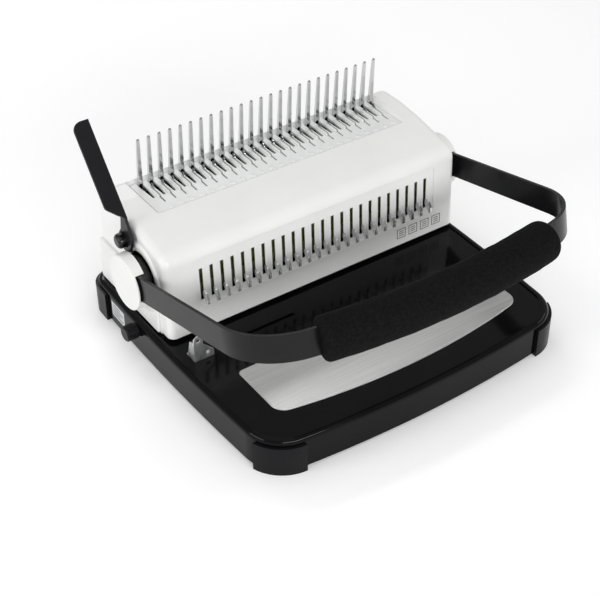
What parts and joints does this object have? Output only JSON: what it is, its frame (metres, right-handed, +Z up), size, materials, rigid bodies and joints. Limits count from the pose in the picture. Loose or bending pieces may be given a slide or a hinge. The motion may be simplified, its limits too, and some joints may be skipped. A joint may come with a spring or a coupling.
{
  "type": "comb binding machine",
  "caption": "Manual desk comb punch and binder with a swing-over bail handle, upright ring fingers, sliding hooks, die selectors and a chip drawer.",
  "frame": {"origin": "on the table, under the middle of the overall box", "axes": "+Z up, -Y towards the operator, +X to the operator's right"},
  "size_m": [0.4794, 0.4545, 0.2795],
  "materials": {
    "pan_black": "gloss black enamel",
    "boot_black": "satin black",
    "brushed_plate": "brushed along X",
    "drawer_black": "moulded black",
    "chrome_parts": "bright plated",
    "housing_white": "soft gloss white",
    "cover_white": "soft gloss white",
    "tray_white": "soft gloss white",
    "zinc_steel": "zinc plated",
    "bronze": "sintered bronze",
    "tool_steel": "ground",
    "arm_black": "gloss black enamel",
    "grip_foam": "matt foam",
    "hub_white": "soft gloss white",
    "shaft_black": "satin black",
    "lever_black": "satin black",
    "bolt_black": "black oxide",
    "knob_black": "satin black",
    "bar_yellow": "yellow zinc plated",
    "guide_zinc": "satin zinc plated",
    "screw_steel": "zinc plated",
    "selector_chrome": "bright plated"
  },
  "bodies": {
    "base": {"base_pan": "pan_black", "bottom_plate": "pan_black", "feet_front": "boot_black", "feet_rear": "boot_black", "deck_plate": "brushed_plate", "housing_shell": "housing_white", "side_cover_left": "cover_white", "side_cover_right": "cover_white", "comb_tray": "tray_white", "finger_comb": "chrome_parts", "side_frame_left": "zinc_steel", "side_frame_right": "zinc_steel", "shaft_bushes": "bronze", "tie_rods": "zinc_steel", "die_plate": "tool_steel", "stripper_plate": "tool_steel", "lever_collar": "boot_black", "frame_screws": "screw_steel"},
    "handle": {"handle_bar": "arm_black", "foam_grip": "grip_foam", "hub_cover_left": "hub_white", "hub_cover_right": "hub_white", "handle_shaft": "shaft_black", "handle_pinions": "tool_steel"},
    "punch_carriage": {"punch_bar": "bar_yellow", "punch_pins": "tool_steel"},
    "lever": {"comb_lever": "lever_black", "lever_bolt": "bolt_black", "lever_shaft": "tool_steel", "lever_pinions": "tool_steel"},
    "hooks": {"hook_plate": "chrome_parts"},
    "margin_dial": {"margin_shaft": "tool_steel", "margin_knob": "knob_black"},
    "margin_slide": {"margin_stop": "zinc_steel"},
    "drawer": {"waste_drawer": "drawer_black"},
    "guide": {"edge_guide": "guide_zinc"},
    "selector_01": {"die_selector_01": "selector_chrome"},
    "selector_02": {"die_selector_02": "selector_chrome"},
    "selector_03": {"die_selector_03": "selector_chrome"},
    "selector_04": {"die_selector_04": "selector_chrome"},
    "selector_05": {"die_selector_05": "selector_chrome"},
    "selector_06": {"die_selector_06": "selector_chrome"},
    "selector_07": {"die_selector_07": "selector_chrome"},
    "selector_08": {"die_selector_08": "selector_chrome"},
    "selector_09": {"die_selector_09": "selector_chrome"},
    "selector_10": {"die_selector_10": "selector_chrome"},
    "selector_11": {"die_selector_11": "selector_chrome"},
    "selector_12": {"die_selector_12": "selector_chrome"},
    "selector_13": {"die_selector_13": "selector_chrome"},
    "selector_14": {"die_selector_14": "selector_chrome"},
    "selector_15": {"die_selector_15": "selector_chrome"},
    "selector_16": {"die_selector_16": "selector_chrome"},
    "selector_17": {"die_selector_17": "selector_chrome"},
    "selector_18": {"die_selector_18": "selector_chrome"},
    "selector_19": {"die_selector_19": "selector_chrome"},
    "selector_20": {"die_selector_20": "selector_chrome"},
    "selector_21": {"die_selector_21": "selector_chrome"},
    "selector_22": {"die_selector_22": "selector_chrome"},
    "selector_23": {"die_selector_23": "selector_chrome"},
    "selector_24": {"die_selector_24": "selector_chrome"}
  },
  "joints": [
    {"name": "handle_swing", "type": "hinge", "parent": "base", "child": "handle", "pos_m": [0.0027, 0.09525, 0.112], "axis": [-1, 0, 0], "range_deg": [0, 62]},
    {"name": "punch_lift", "type": "slide", "parent": "base", "child": "punch_carriage", "axis": [0, 0, 1], "range_m": [0, 0.012]},
    {"name": "lever_swing", "type": "hinge", "parent": "base", "child": "lever", "pos_m": [0.0027, 0.12025, 0.152], "axis": [-1, 0, 0], "range_deg": [0, 40]},
    {"name": "hook_slide", "type": "slide", "parent": "base", "child": "hooks", "axis": [0, -1, 0], "range_m": [0, 0.0113]},
    {"name": "margin_turn", "type": "hinge", "parent": "base", "child": "margin_dial", "pos_m": [0.0027, 0.09825, 0.035], "axis": [1, 0, 0], "range_deg": [0, 45]},
    {"name": "margin_shift", "type": "slide", "parent": "base", "child": "margin_slide", "axis": [0, 1, 0], "range_m": [0, 0.005]},
    {"name": "drawer_pull", "type": "slide", "parent": "base", "child": "drawer", "axis": [0, 1, 0], "range_m": [0, 0.15]},
    {"name": "guide_slide", "type": "slide", "parent": "base", "child": "guide", "axis": [1, 0, 0], "range_m": [0, 0.128]},
    {"name": "selector_pull_01", "type": "slide", "parent": "punch_carriage", "child": "selector_01", "axis": [0, -1, 0], "range_m": [0, 0.008]},
    {"name": "selector_pull_02", "type": "slide", "parent": "punch_carriage", "child": "selector_02", "axis": [0, -1, 0], "range_m": [0, 0.008]},
    {"name": "selector_pull_03", "type": "slide", "parent": "punch_carriage", "child": "selector_03", "axis": [0, -1, 0], "range_m": [0, 0.008]},
    {"name": "selector_pull_04", "type": "slide", "parent": "punch_carriage", "child": "selector_04", "axis": [0, -1, 0], "range_m": [0, 0.008]},
    {"name": "selector_pull_05", "type": "slide", "parent": "punch_carriage", "child": "selector_05", "axis": [0, -1, 0], "range_m": [0, 0.008]},
    {"name": "selector_pull_06", "type": "slide", "parent": "punch_carriage", "child": "selector_06", "axis": [0, -1, 0], "range_m": [0, 0.008]},
    {"name": "selector_pull_07", "type": "slide", "parent": "punch_carriage", "child": "selector_07", "axis": [0, -1, 0], "range_m": [0, 0.008]},
    {"name": "selector_pull_08", "type": "slide", "parent": "punch_carriage", "child": "selector_08", "axis": [0, -1, 0], "range_m": [0, 0.008]},
    {"name": "selector_pull_09", "type": "slide", "parent": "punch_carriage", "child": "selector_09", "axis": [0, -1, 0], "range_m": [0, 0.008]},
    {"name": "selector_pull_10", "type": "slide", "parent": "punch_carriage", "child": "selector_10", "axis": [0, -1, 0], "range_m": [0, 0.008]},
    {"name": "selector_pull_11", "type": "slide", "parent": "punch_carriage", "child": "selector_11", "axis": [0, -1, 0], "range_m": [0, 0.008]},
    {"name": "selector_pull_12", "type": "slide", "parent": "punch_carriage", "child": "selector_12", "axis": [0, -1, 0], "range_m": [0, 0.008]},
    {"name": "selector_pull_13", "type": "slide", "parent": "punch_carriage", "child": "selector_13", "axis": [0, -1, 0], "range_m": [0, 0.008]},
    {"name": "selector_pull_14", "type": "slide", "parent": "punch_carriage", "child": "selector_14", "axis": [0, -1, 0], "range_m": [0, 0.008]},
    {"name": "selector_pull_15", "type": "slide", "parent": "punch_carriage", "child": "selector_15", "axis": [0, -1, 0], "range_m": [0, 0.008]},
    {"name": "selector_pull_16", "type": "slide", "parent": "punch_carriage", "child": "selector_16", "axis": [0, -1, 0], "range_m": [0, 0.008]},
    {"name": "selector_pull_17", "type": "slide", "parent": "punch_carriage", "child": "selector_17", "axis": [0, -1, 0], "range_m": [0, 0.008]},
    {"name": "selector_pull_18", "type": "slide", "parent": "punch_carriage", "child": "selector_18", "axis": [0, -1, 0], "range_m": [0, 0.008]},
    {"name": "selector_pull_19", "type": "slide", "parent": "punch_carriage", "child": "selector_19", "axis": [0, -1, 0], "range_m": [0, 0.008]},
    {"name": "selector_pull_20", "type": "slide", "parent": "punch_carriage", "child": "selector_20", "axis": [0, -1, 0], "range_m": [0, 0.008]},
    {"name": "selector_pull_21", "type": "slide", "parent": "punch_carriage", "child": "selector_21", "axis": [0, -1, 0], "range_m": [0, 0.008]},
    {"name": "selector_pull_22", "type": "slide", "parent": "punch_carriage", "child": "selector_22", "axis": [0, -1, 0], "range_m": [0, 0.008]},
    {"name": "selector_pull_23", "type": "slide", "parent": "punch_carriage", "child": "selector_23", "axis": [0, -1, 0], "range_m": [0, 0.008]},
    {"name": "selector_pull_24", "type": "slide", "parent": "punch_carriage", "child": "selector_24", "axis": [0, -1, 0], "range_m": [0, 0.008]}
  ],
  "couplings": [
    {"joint": "punch_lift", "follows": "handle_swing", "m_per_rad": 0.011},
    {"joint": "hook_slide", "follows": "lever_swing", "m_per_rad": 0.016},
    {"joint": "margin_shift", "follows": "margin_turn", "m_per_rad": 0.006}
  ]
}
